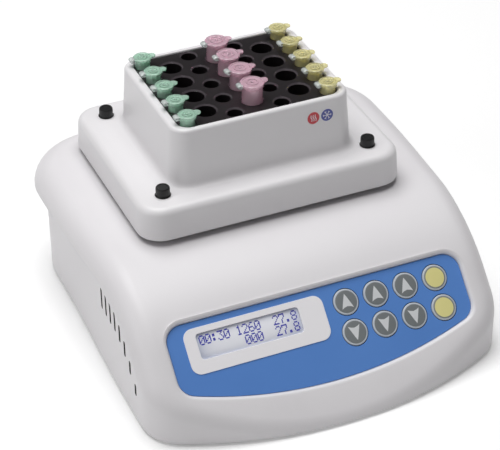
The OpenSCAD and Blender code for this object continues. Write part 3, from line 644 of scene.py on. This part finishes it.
def housing():
    """The moulded shell, with its vents, switch opening, inlet hole, key holes and window."""
    bm = bmesh.new()
    lines = [shoulder(q, d) for q, d in stations()]
    rings = [[line[k] for line in lines] for k in range(len(lines[0]))]
    loft(bm, rings, caps=(False, False))
    well = []
    lip = 1.2
    for k in range(5):
        a = PI / 2 * k / 4
        i = lip * (1 - math.sin(a))
        flat = rounded(WELL[0] + i, WELL[1] + i, WELL[2] + i, 9)
        well.append([Vector((x, y + WELL_Y, TOP - lip + lip * math.cos(a))) for x, y in flat])
    well.append([Vector((p.x, p.y, TOP - 8.5)) for p in well[-1]])
    loft(bm, well, caps=(False, False))
    pocket = []
    brim = 2.2
    for k in range(6):
        a = PI / 2 * k / 5
        pocket.append(pad_outline(-brim * (1 - math.sin(a)), brim * (math.cos(a) - 1)))
    pocket.append(pad_outline(0.0, -PAD_DEEP + 0.3))
    pocket.append(pad_outline(0.3, -PAD_DEEP))
    loft(bm, pocket, caps=(False, True))
    top_skin(bm, rings[0], [well[0], pocket[0]])
    mesh = mesh_of("upper_housing_shell", bm, [abs_shell])
    made = put("upper_housing_shell", mesh, "base", ("upper_housing",))
    step = made.modifiers.new("wall", "SOLIDIFY")
    step.thickness = WALL * MM
    step.offset = -1
    settle(made)
    cuts = bmesh.new()
    for k in range(SLOT_N):
        along = max(0, k - 2)
        top = SLOT_TOP - along ** 2 * 1.05
        tall = SLOT_TALL - along * 1.1
        for x0, x1 in ((-106, -84), (84, 106)):
            capsule(cuts, x0, x1, SLOT_Y - k * SLOT_STEP, top - tall, top, SLOT_W)
    # Rear vents, switch opening and inlet hole.
    for k in range(-5, 6):
        box(cuts, (-46 + 5 * k, 92, 9), (-44 + 5 * k, 112, 31))
    box(cuts, (52.3, 92, 21.3), (71.7, 112, 34.7))
    round_cut = [(30 + x, 28 + z) for x, z in arc(0, 0, 5.55, 0, 350, 35)]
    loft(cuts, [[(x, y, z) for x, z in round_cut] for y in (92, 112)])
    # Holes behind the keys and the display.
    for u, v in KEY_AT:
        ring = arc(u, v, 7.05, 0, 350, 35)
        loft(cuts, [[on_panel(a, b, w) for a, b in ring] for w in (-8.0, -1.0)])
    sill = [(WIN_X + x, WIN_V + y) for x, y in ((-31, -9.5), (31, -9.5), (31, 9.5), (-31, 9.5))]
    loft(cuts, [[on_panel(a, b, w) for a, b in sill] for w in (-8.0, -1.0)])
    # The cut faces of the slots, vents, openings and holes take the painted shade.
    carve(made, cuts)


housing()


# Cover over the block.

def cover():
    """The hooded frame round the block: foot, hood, mouth and the skirt inside."""
    def ring(hx, hy, r, z):
        return [(x, y + BLOCK_Y, z) for x, y in rounded(hx, hy, r, 10)]

    # Radii of the foot's lower edge, its shoulder, the root of the hood, the rim and the mouth.
    edge, round_top, root, brow, mouth = 0.7, 4.0, 3.6, 1.9, 0.7
    # The hood leans in by this much from its root to its rim, and the foot's ceiling is inside it.
    lean_x, lean_y = 1.6, 1.8
    ceiling = 85.1
    rings = [ring(FOOT_HX - 0.6, FOOT_HY - 0.6, FOOT_R - 0.6, FOOT)]
    for k in range(4):
        a = PI / 2 * k / 3
        i = edge * (1 - math.sin(a))
        rings.append(ring(FOOT_HX - i, FOOT_HY - i, FOOT_R - i, FOOT + edge - edge * math.cos(a)))
    for k in range(9):
        a = PI / 2 * k / 8
        i = round_top * (1 - math.cos(a)) + 0.7
        z = FOOT_TOP - round_top + round_top * math.sin(a)
        rings.append(ring(FOOT_HX - i, FOOT_HY - i, FOOT_R - i * 0.8, z))
    for k in range(8):
        a = PI / 2 * k / 7
        i = root * (1 - math.sin(a))
        z = FOOT_TOP + root * (1 - math.cos(a))
        rings.append(ring(HOOD_HX + lean_x + i, HOOD_HY + lean_y + i, HOOD_R + 1 + i, z))
    for k in range(7):
        a = PI / 2 * k / 6
        i = brow * (1 - math.cos(a))
        rings.append(ring(HOOD_HX - i, HOOD_HY - i, HOOD_R - i, RIM - brow + brow * math.sin(a)))
    for k in range(4):
        a = PI / 2 * k / 3
        i = mouth * (1 - math.sin(a))
        rings.append(ring(MOUTH_HX + i, MOUTH_HY + i, MOUTH_R + i, RIM - mouth * (1 - math.cos(a))))
    rings.append(ring(MOUTH_HX, MOUTH_HY, MOUTH_R, FOOT))
    for z in (FOOT, ceiling):
        rings.append(ring(MOUTH_HX + SKIRT, MOUTH_HY + SKIRT, MOUTH_R + SKIRT, z))
    for z in (ceiling, FOOT):
        rings.append(ring(69.2, 53.3, 10.4, z))
    bm = bmesh.new()
    loft(bm, rings, round_trip=True)
    made = put("block_cover_shell", mesh_of("block_cover_shell", bm, [abs_cover]),
               "block", ("block_cover",))
    cuts = bmesh.new()
    for x in (-KNOB_X, KNOB_X):
        for y in (-KNOB_Y, KNOB_Y):
            flat = arc(x, y + BLOCK_Y, 2.1, 0, 345, 23)
            loft(cuts, [[(a, b, z) for a, b in flat] for z in (80, 92)])
    # The walls of the knob holes take the painted shade.
    carve(made, cuts)


cover()


# Thumb screws.

def knob(name, sx, sy):
    """A knurled thumb screw on its shank."""
    bm = bmesh.new()
    z = FOOT_TOP + 0.1
    lathe(bm, [(0, 61.5), (2, 61.5), (2, z), (4.0, z), (4.1, z + 0.25), (3.62, z + 0.9), (3.62, z + 3.9),
               (3.5, z + 4.5), (3.2, z + 4.8), (2.5, z + 4.8), (2.3, z + 4.6), (0, z + 4.6)],
          n=120, wave=lambda a, k: 1 - 0.04 * (1 + math.cos(24 * a)) / 2 if k in (6, 7) else 1)
    put(name + "_knob", mesh_of(name + "_knob", bm, [nylon_black]), name + "_body",
        (name,), (sx * KNOB_X, sy * KNOB_Y + BLOCK_Y, 0))


for name, sx, sy in (("thumb_screw_1", -1, -1), ("thumb_screw_2", 1, -1),
                     ("thumb_screw_3", 1, 1), ("thumb_screw_4", -1, 1)):
    knob(name, sx, sy)


# Heat and cold marks on the cover.

def face_y(z, lift):
    """The front of the hood leans back a little towards its rim."""
    return BLOCK_Y - 41 + 1.8 * (z - 91.3) / 26.7 - lift


def disc(bm, x, z, r):
    """A thin round plate on the front of the hood."""
    thick = 0.12
    flat = arc(x, z, r, 0, 351, 39)
    loft(bm, [[(a, face_y(b, w), b) for a, b in flat] for w in (-0.4, thick - 0.04)]
         + [[(x + (a - x) * 0.985, face_y(b, thick), z + (b - z) * 0.985) for a, b in flat]])


def stroke(bm, line, width):
    """A flat stroke of a given width along a line on the front of the hood."""
    left, right = [], []
    for k, (x, z) in enumerate(line):
        x0, z0 = line[max(k - 1, 0)]
        x1, z1 = line[min(k + 1, len(line) - 1)]
        run = Vector((x1 - x0, z1 - z0)).normalized() * width / 2
        for side, dx, dz in ((left, -run.y, run.x), (right, run.y, -run.x)):
            side.append(bm.verts.new((x + dx, face_y(z + dz, 0.14), z + dz)))
    for k in range(len(line) - 1):
        bm.faces.new((left[k], right[k], right[k + 1], left[k + 1])).material_index = 1


def marks():
    """Three waves on a red disc and a star on a blue one."""
    for name, x, ink in (("heat_mark", 26.4, ink_red), ("cold_mark", 34.0, ink_blue)):
        bm = bmesh.new()
        z = 110.5
        disc(bm, x, z, 3.3)
        if ink is ink_red:
            for s in (-1, 0, 1):
                line = [(x + s * 1.15 + 0.32 * math.sin(t * 0.9), z - 1.7 + t * 0.49) for t in range(8)]
                stroke(bm, line, 0.42)
        else:
            for k in range(6):
                a = PI / 3 * k
                line = [(x + r * math.cos(a), z + r * math.sin(a)) for r in (0.1, 0.8, 1.5, 2.3)]
                stroke(bm, line, 0.38)
                tip = [(x + 1.7 * math.cos(a) + s * 0.55 * math.sin(a) + 0.5 * abs(s) * math.cos(a),
                        z + 1.7 * math.sin(a) - s * 0.55 * math.cos(a) + 0.5 * abs(s) * math.sin(a))
                       for s in (-1, 0, 1)]
                stroke(bm, tip, 0.3)
        put(name, mesh_of(name, bm, [ink, ink_white]), "block")


marks()


# Keypad, display and keys.

def plate_with_window():
    """The white frame round the display, and the clear cover in it."""
    bm = bmesh.new()
    outer = (37.1, 11.4, 5.0, -34.1, -14.9)
    hole = (27.35, 6.5, 1.8, WIN_X, WIN_V)

    def ring(form, i, w):
        hx, hy, r, u, v = form
        return [on_panel(u + x, v + y, w) for x, y in rounded(hx - i, hy - i, r - i, 8)]

    rings = [ring(outer, 0, -1.98), ring(outer, 0, -1.68), ring(outer, 0.08, -1.6),
             ring(hole, -0.12, -1.6), ring(hole, 0, -1.72), ring(hole, 0, -2.72), ring(hole, -0.1, -2.72),
             ring(hole, -0.1, -1.98)]
    loft(bm, rings, round_trip=True)
    put("display_frame", mesh_of("display_frame", bm, [film_white]), "base",
        ("display_inlay",))
    bm = bmesh.new()
    loft(bm, [ring(hole, 0.05, -2.79), ring(hole, 0.05, -2.72), ring(hole, 0.1, -2.7)])
    put("display_glass", mesh_of("display_glass", bm, [lcd_glass]), "base",
        ("display_window",))


plate_with_window()

# Each sign of the display as seven rows of five dots.
DOTS = {
    "0": "01110 10001 10011 10101 11001 10001 01110", "1": "00100 01100 00100 00100 00100 00100 01110",
    "2": "01110 10001 00001 00010 00100 01000 11111", "3": "11111 00010 00100 00010 00001 10001 01110",
    "6": "00110 01000 10000 11110 10001 10001 01110", "7": "11111 10001 00001 00010 00100 00100 00100",
    "8": "01110 10001 10001 01110 10001 10001 01110", ":": "00000 01100 01100 00000 01100 01100 00000",
    ".": "00000 00000 00000 00000 00000 01100 01100", " ": " ".join(["00000"] * 7),
}


def digits():
    """Plain numbers in the display, dot by dot."""
    bm = bmesh.new()
    pitch_u, pitch_v = 0.60, 0.70
    wide, tall = 0.58, 0.68
    for row, text in enumerate(("00:30 1260  27.8", "       000  27.8")):
        for col, sign in enumerate(text):
            for j, bits in enumerate(DOTS[sign].split()):
                for i, bit in enumerate(bits):
                    if bit == "1":
                        u = WIN_X - 25.9 + col * 3.26 + i * pitch_u
                        v = WIN_V + 5.35 - row * 5.55 - j * pitch_v
                        flat = ((u, v - tall), (u + wide, v - tall), (u + wide, v), (u, v))
                        bm.faces.new([bm.verts.new(on_panel(a, b, -2.68)) for a, b in flat])
    put("display_digits", mesh_of("display_digits", bm, [ink_digit]), "base")


digits()


def key_piece(name, u, v, face, rim, arrow):
    """A round key in its ring, with a grey rim or an arrow that points up or down."""
    bm = bmesh.new()
    lathe(bm, [(0, -1.5), (5.1, -1.5), (5.45, -1.53), (5.75, -1.62)], n=56, tint=0)
    lathe(bm, [(5.75, -1.62), (6.1, -1.6), (6.4, -1.68), (6.6, -1.85), (6.65, -2.05), (6.65, -3.9),
               (2.0, -3.9), (2.0, -6.9), (0, -6.9)], n=56, tint=1)
    if rim:
        lathe(bm, [(5.05, -1.48), (5.55, -1.52), (5.75, -1.585)], n=56, tint=2)
    if arrow:
        shape = [(0, 4.15), (1.05, 1.9), (2.1, -0.8), (3.15, -3.45), (1.8, -2.75), (0, -2.3),
                 (-1.8, -2.75), (-3.15, -3.45), (-2.1, -0.8), (-1.05, 1.9)]
        bm.faces.new([bm.verts.new((x, y * arrow, -1.48)) for x, y in shape]).material_index = 3
    for p in bm.verts:
        p.co = on_panel(u + p.co.x, v + p.co.y, p.co.z)
    finishes = [face, key_ring, ring_grey, mark_pale]
    put(name + "_cap", mesh_of(name + "_cap", bm, finishes, 50), name + "_body",
        (name,))


for k, name in enumerate(("key_up_1", "key_up_2", "key_up_3", "key_round_1",
                          "key_down_1", "key_down_2", "key_down_3", "key_round_2")):
    u, v = KEY_AT[k]
    yellow = k % 4 == 3
    key_piece(name, u, v, key_yellow if yellow else key_grey, yellow, 0 if yellow else 1 if k < 4 else -1)


# Sample tubes.

def band(bm, line, half, thick, tint):
    """A bent strap: (x, z) points swept to a flat section with soft edges."""
    rings = []
    for k, (x, z) in enumerate(line):
        x0, z0 = line[max(k - 1, 0)]
        x1, z1 = line[min(k + 1, len(line) - 1)]
        run = Vector((x1 - x0, z1 - z0)).normalized()
        nx, nz = -run.y * thick / 2, run.x * thick / 2
        rings.append([(x + nx * s, y, z + nz * s) for y, s in (
            (-half + 0.2, 1), (half - 0.2, 1), (half, 0.3), (half, -0.3), (half - 0.2, -1), (-half + 0.2, -1),
            (-half, -0.3), (-half, 0.3))])
    loft(bm, rings, tint=tint)


def tube_mesh(name, d, lip, straight, deep, tip, cap, tint):
    """A capped microtube about its own axis, zero at the block's top, with its strap and its tab."""
    bm = bmesh.new()
    r, t, c, wall = d / 2, tip / 2, cap / 2, 0.9
    lathe(bm, [(0, -deep), (t * 0.7, -deep + 0.25), (t, -deep + 1.1), (r, -straight), (r, lip - 1.6),
               (c - 0.5, lip - 1.2), (c - 0.35, lip - 0.9), (c - 0.5, lip - 0.1), (r - wall, lip - 0.1),
               (r - wall, -straight), (t - wall * 0.7, -deep + 1.9), (0, -deep + 1.5)], n=40)

    def scallop(a, k):
        return 1 + (0.022 * math.cos(12 * a) if k in (3, 4, 5) else 0)

    lathe(bm, [(0, lip - 2.4), (r - 1.0, lip - 2.6), (r - 0.95, lip - 0.05), (c - 0.55, lip),
               (c - 0.2, lip + 0.25), (c - 0.22, lip + 0.85), (c - 0.6, lip + 1.15),
               (c - 1.1, lip + 1.1), (c - 1.3, lip + 0.75),
               (c * 0.52, lip + 0.72), (c * 0.5, lip + 1.18), (c * 0.4, lip + 1.2), (c * 0.37, lip + 0.8),
               (0.9, lip + 0.78), (0.75, lip + 1.3), (0.45, lip + 1.45), (0, lip + 1.48)], n=72, wave=scallop)
    x = -c + 0.5
    band(bm, [(x, lip + 0.7), (x - 0.9, lip + 0.95), (x - 1.8, lip + 0.9), (x - 2.35, lip + 0.45),
              (x - 2.45, lip - 0.1), (x - 2.2, lip - 0.55), (x - 1.5, lip - 0.75), (x, lip - 0.65)],
         1.9, 0.45, 1)
    flap = [(c - 0.9 + a, b) for a, b in (
        (0, -2.1), (1.7, -1.9), (2.6, -1.3), (3.1, 0), (2.6, 1.3), (1.7, 1.9), (0, 2.1))]
    loft(bm, [[(a, b, lip + 0.35 + e) for a, b in flap] for e in (0, 0.15, 0.55)]
         + [[(a - 0.15, b * 0.94, lip + 1.05) for a, b in flap]])
    return mesh_of(name, bm, [tint, strap_clear], 40)


small_green = tube_mesh("small_tube_green", 7.8, 4.5, 12.9, 23.9, 4.3, 10, tube_green)
small_yellow = tube_mesh("small_tube_yellow", 7.8, 4.5, 12.9, 23.9, 4.3, 10, tube_yellow)
large_pink = tube_mesh("large_tube_pink", 10.8, 9.3, 11.9, 29.3, 4.5, 12.6, tube_pink)

for k in range(5):
    y = BLOCK_Y + (2 - k) * ROW
    for letter, side, mesh in (("a", -3, small_green), ("g", 3, small_yellow)):
        name = "small_tube_%s%d" % (letter, k + 1)
        put(name + "_tube", mesh, name + "_body", (name,),
            (side * COL, y, BLOCK_TOP))
for k in range(4):
    name = "large_tube_d%d" % (k + 1)
    put(name + "_tube", large_pink, name + "_body", (name,),
        (0, BLOCK_Y + (1.5 - k) * ROW, BLOCK_TOP))


# Floor, world and lamps.

def stage():
    """A pale floor that keeps the shadow, and an even world that the camera sees as white."""
    bm = bmesh.new()
    bmesh.ops.create_grid(bm, x_segments=8, y_segments=8, size=3.0)
    mesh = bpy.data.meshes.new("floor")
    bm.to_mesh(mesh)
    bm.free()
    mat = bpy.data.materials.new("floor_paper_white")
    mat.use_nodes = True
    tree = mat.node_tree
    shader = tree.nodes["Principled BSDF"]
    shader.inputs["Base Color"].default_value = colour("#f4f4f4")
    shader.inputs["Roughness"].default_value = 0.9
    ray = add(tree, "LightPath")
    seen = add(tree, "Math", {
        0: ray.outputs["Is Camera Ray"], 1: ray.outputs["Is Glossy Ray"]}, operation="ADD")
    seen2 = add(tree, "Math", {0: seen.outputs[0], 1: ray.outputs["Is Transmission Ray"]}, operation="ADD",
                use_clamp=True)
    glow = add(tree, "Math", {0: seen2.outputs[0], 1: 0.22}, operation="MULTIPLY")
    shader.inputs["Emission Color"].default_value = (1, 1, 1, 1)
    tree.links.new(glow.outputs[0], shader.inputs["Emission Strength"])
    mesh.materials.append(mat)
    floor = bpy.data.objects.new("floor", mesh)
    bpy.context.scene.collection.objects.link(floor)
    world = bpy.data.worlds.new("studio")
    world.use_nodes = True
    bpy.context.scene.world = world
    tree = world.node_tree
    ground = tree.nodes["Background"]
    ground.inputs["Color"].default_value = (1, 1, 1, 1)
    ray = add(tree, "LightPath")
    seen = add(tree, "Math", {0: ray.outputs["Is Camera Ray"], 1: ray.outputs["Is Transmission Ray"]},
               operation="ADD", use_clamp=True)
    level = add(tree, "MapRange", {"Value": seen.outputs[0], "To Min": 0.11, "To Max": 1.0})
    tree.links.new(level.outputs["Result"], ground.inputs["Strength"])


def lamp(name, spot, aim, size, power):
    """A square soft lamp at a spot, turned towards an aim."""
    data = bpy.data.lights.new(name, "AREA")
    data.shape = "RECTANGLE"
    data.size, data.size_y = size
    data.energy = power
    made = bpy.data.objects.new(name, data)
    made.location = spot
    made.rotation_mode = "QUATERNION"
    made.rotation_quaternion = (Vector(aim) - Vector(spot)).to_track_quat("-Z", "Y")
    bpy.context.scene.collection.objects.link(made)


stage()
lamp("top_soft", (-0.1, 0.2, 1.6), (0, 0, 0.05), (1.2, 1.2), 23)
lamp("left_soft", (-1.4, -0.2, 0.7), (0, 0, 0.06), (0.9, 0.9), 3.3)
